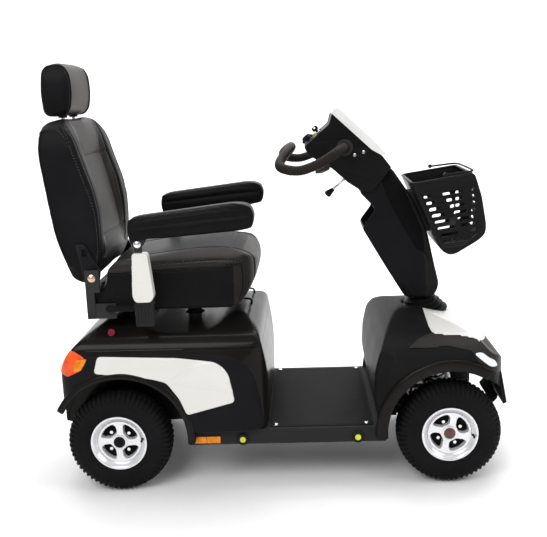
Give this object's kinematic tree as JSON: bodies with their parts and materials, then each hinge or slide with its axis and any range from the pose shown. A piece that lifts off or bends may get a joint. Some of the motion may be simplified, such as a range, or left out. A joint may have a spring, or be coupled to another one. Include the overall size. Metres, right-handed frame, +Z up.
{
  "type": "mobility scooter",
  "caption": "Four-wheel mobility scooter with a tilting steering column, wraparound handlebar, front basket and a swivelling captain's seat with headrest and flip-up arms.",
  "frame": {"origin": "on the floor under the centre of the whole scooter's box", "axes": "+X forward, +Y to the rider's left, +Z up"},
  "size_m": [1.44, 0.65, 1.34],
  "materials": {
    "frame_steel": "satin black powder coat",
    "axle_steel": "satin dark grey",
    "bright_steel": "polished",
    "spring_steel": "satin grey",
    "floor_plastic": "fine grain",
    "mat_rubber": "ribbed matt",
    "gloss_black": "glossy",
    "body_charcoal": "fine texture",
    "white_panel": "pearl white",
    "trim_grey": "satin",
    "lamp_clear": "clear lens",
    "lamp_red": "red and amber lens",
    "reflector_amber": "prismatic amber",
    "tie_down": "yellow-green cap on black boss",
    "battery_case": "satin",
    "red_knob": "glossy red",
    "bellows_rubber": "matt",
    "tiller_black": "semi-gloss",
    "head_black": "fine texture",
    "head_white": "pearl white",
    "control_black": "soft touch",
    "horn_yellow": "satin",
    "grip_rubber": "matt moulded foam",
    "basket_plastic": "textured",
    "tyre": "treaded",
    "alloy": "silver lacquer",
    "leather_black": "grained black",
    "pad_black": "moulded skin",
    "socket_grey": "ribbed matt"
  },
  "bodies": {
    "chassis": {"chassis_frame": "frame_steel", "floor_pan": "floor_plastic", "floor_mat": "mat_rubber", "rear_shroud": "gloss_black", "rear_body": "body_charcoal", "rear_panels": "white_panel", "rear_lights": "lamp_red", "side_reflectors": "reflector_amber", "tie_downs": "tie_down", "batteries": "battery_case", "front_body": "body_charcoal", "front_hood": "white_panel", "front_cowl": "trim_grey", "headlights": "lamp_clear"},
    "freewheel": {"freewheel_lever": "red_knob"},
    "rear_suspension": {"rear_axle": "axle_steel", "rear_springs": "spring_steel"},
    "front_suspension": {"front_axle": "axle_steel", "front_springs": "spring_steel"},
    "wheel_rl": {"tyre_rl": "tyre", "rim_rl": "alloy"},
    "wheel_rr": {"tyre_rr": "tyre", "rim_rr": "alloy"},
    "wheel_fl": {"tyre_fl": "tyre", "rim_fl": "alloy"},
    "wheel_fr": {"tyre_fr": "tyre", "rim_fr": "alloy"},
    "steer_l": {"knuckle_l": "axle_steel"},
    "steer_r": {"knuckle_r": "axle_steel"},
    "track_rod": {"tie_rod": "axle_steel"},
    "column": {"steering_column": "axle_steel", "bellows": "bellows_rubber"},
    "tiller": {"tiller_spine": "axle_steel", "tiller_cover": "tiller_black", "head_base": "head_black", "head_cover": "head_white", "handlebar": "grip_rubber", "basket_bracket": "frame_steel"},
    "speed_dial": {"speed_knob": "control_black"},
    "key": {"ignition_key": "control_black"},
    "horn": {"horn_button": "horn_yellow"},
    "indicator": {"indicator_rocker": "trim_grey"},
    "throttle": {"throttle_lever": "control_black"},
    "tilt_handle": {"tilt_lever": "control_black"},
    "carrier": {"basket": "basket_plastic"},
    "bail": {"basket_handle": "basket_plastic"},
    "seat_height": {"seat_post": "bright_steel"},
    "seat_turntable": {"swivel_base": "frame_steel"},
    "seat": {"seat_frame": "frame_steel", "seat_cushion": "leather_black", "arm_sockets": "socket_grey", "arm_posts": "white_panel"},
    "seat_back": {"backrest_plates": "bright_steel", "backrest": "leather_black"},
    "head_support": {"headrest": "leather_black", "headrest_posts": "bright_steel"},
    "armrest_l": {"arm_pad_l": "pad_black"},
    "armrest_r": {"arm_pad_r": "pad_black"},
    "recline_handle": {"recline_lever": "control_black"},
    "slide_handle": {"slide_bar": "control_black"}
  },
  "joints": [
    {"name": "rear_suspension_travel", "type": "hinge", "parent": "chassis", "child": "rear_suspension", "pos_m": [-0.255, 0, 0.15], "axis": [0, 1, 0], "range_deg": [0, 6.5], "stiffness_Nm_per_rad": 4000, "springref_deg": -5.16, "deforming": ["rear_springs"]},
    {"name": "front_suspension_travel", "type": "hinge", "parent": "chassis", "child": "front_suspension", "pos_m": [0.35, 0, 0.15], "axis": [0, -1, 0], "range_deg": [0, 8], "stiffness_Nm_per_rad": 2500, "springref_deg": -5.16, "deforming": ["front_springs"]},
    {"name": "steering", "type": "hinge", "parent": "chassis", "child": "column", "pos_m": [0.47, 0, 0.5], "axis": [-0.2079, 0, 0.9781], "range_deg": [-30, 30]},
    {"name": "left_kingpin", "type": "hinge", "parent": "front_suspension", "child": "steer_l", "pos_m": [0.52, 0.188, 0.165], "axis": [0, 0, 1], "range_deg": [-30, 30]},
    {"name": "right_kingpin", "type": "hinge", "parent": "front_suspension", "child": "steer_r", "pos_m": [0.52, -0.188, 0.165], "axis": [0, 0, 1], "range_deg": [-30, 30]},
    {"name": "track_rod_pivot", "type": "hinge", "parent": "steer_r", "child": "track_rod", "pos_m": [0.46, -0.188, 0.123], "axis": [0, 0, 1], "range_deg": [-30, 30]},
    {"name": "wheel_rl_spin", "type": "hinge", "parent": "rear_suspension", "child": "wheel_rl", "pos_m": [-0.52, 0.259, 0.165], "axis": [0, 1, 0], "continuous": true},
    {"name": "wheel_rr_spin", "type": "hinge", "parent": "rear_suspension", "child": "wheel_rr", "pos_m": [-0.52, -0.259, 0.165], "axis": [0, 1, 0], "continuous": true},
    {"name": "wheel_fl_spin", "type": "hinge", "parent": "steer_l", "child": "wheel_fl", "pos_m": [0.52, 0.246, 0.165], "axis": [0, 1, 0], "continuous": true},
    {"name": "wheel_fr_spin", "type": "hinge", "parent": "steer_r", "child": "wheel_fr", "pos_m": [0.52, -0.246, 0.165], "axis": [0, 1, 0], "continuous": true},
    {"name": "tiller_tilt", "type": "hinge", "parent": "column", "child": "tiller", "pos_m": [0.45129, 0, 0.58803], "axis": [0, 1, 0], "range_deg": [-5, 30], "deforming": ["bellows"]},
    {"name": "tilt_release", "type": "hinge", "parent": "tiller", "child": "tilt_handle", "pos_m": [0.232, 0, 0.956], "axis": [0, 1, 0], "range_deg": [0, 20], "stiffness_Nm_per_rad": 0.6, "springref_deg": -17.19},
    {"name": "throttle_rock", "type": "hinge", "parent": "tiller", "child": "throttle", "pos_m": [0.132, 0, 1], "axis": [0, 0, 1], "range_deg": [-12, 12], "stiffness_Nm_per_rad": 1.5},
    {"name": "speed_turn", "type": "hinge", "parent": "tiller", "child": "speed_dial", "pos_m": [0.10285, -0.02, 1.07314], "axis": [-0.6428, 0, 0.766], "range_deg": [0, 270]},
    {"name": "key_turn", "type": "hinge", "parent": "tiller", "child": "key", "pos_m": [0.1335, -0.062, 1.09885], "axis": [-0.6428, 0, 0.766], "range_deg": [0, 90]},
    {"name": "horn_press", "type": "slide", "parent": "tiller", "child": "horn", "axis": [0.6428, 0, -0.766], "range_m": [0, 0.003], "stiffness_N_per_m": 400, "springref_m": -0.002},
    {"name": "indicator_rock", "type": "hinge", "parent": "tiller", "child": "indicator", "pos_m": [0.13656, 0.026, 1.10142], "axis": [0.766, 0, 0.6428], "range_deg": [-8, 8], "stiffness_Nm_per_rad": 0.05},
    {"name": "basket_lift", "type": "slide", "parent": "tiller", "child": "carrier", "axis": [0, 0, 1], "range_m": [0, 0.06]},
    {"name": "bail_swing", "type": "hinge", "parent": "carrier", "child": "bail", "pos_m": [0.52, 0, 0.9665], "axis": [0, -1, 0], "range_deg": [0, 100]},
    {"name": "freewheel_pull", "type": "slide", "parent": "chassis", "child": "freewheel", "axis": [0, -0.8829, 0.4695], "range_m": [0, 0.015]},
    {"name": "seat_raise", "type": "slide", "parent": "chassis", "child": "seat_height", "axis": [0, 0, 1], "range_m": [0, 0.06]},
    {"name": "seat_swivel", "type": "hinge", "parent": "seat_height", "child": "seat_turntable", "pos_m": [-0.3, 0, 0.541], "axis": [0, 0, 1], "range_deg": [-90, 90]},
    {"name": "seat_slide", "type": "slide", "parent": "seat_turntable", "child": "seat", "axis": [1, 0, 0], "range_m": [-0.05, 0.07]},
    {"name": "backrest_recline", "type": "hinge", "parent": "seat", "child": "seat_back", "pos_m": [-0.578, 0, 0.686], "axis": [0, 1, 0], "range_deg": [-20, 10]},
    {"name": "headrest_raise", "type": "slide", "parent": "seat_back", "child": "head_support", "axis": [0, 0, 1], "range_m": [0, 0.06]},
    {"name": "armrest_l_flip", "type": "hinge", "parent": "seat", "child": "armrest_l", "pos_m": [-0.415, 0.308, 0.801], "axis": [0, -1, 0], "range_deg": [0, 95]},
    {"name": "armrest_r_flip", "type": "hinge", "parent": "seat", "child": "armrest_r", "pos_m": [-0.415, -0.308, 0.801], "axis": [0, 1, 0], "range_deg": [-95, 0]},
    {"name": "recline_release", "type": "hinge", "parent": "seat", "child": "recline_handle", "pos_m": [-0.53, -0.254, 0.59], "axis": [0, -1, 0], "range_deg": [0, 25], "stiffness_Nm_per_rad": 0.4, "springref_deg": -22.92},
    {"name": "slide_release", "type": "hinge", "parent": "seat", "child": "slide_handle", "pos_m": [-0.17, 0, 0.566], "axis": [0, -1, 0], "range_deg": [0, 6], "stiffness_Nm_per_rad": 2, "springref_deg": -17.19}
  ],
  "couplings": [
    {"joint": "left_kingpin", "follows": "steering", "ratio": 1},
    {"joint": "right_kingpin", "follows": "steering", "ratio": 1},
    {"joint": "track_rod_pivot", "follows": "steering", "ratio": -1}
  ]
}
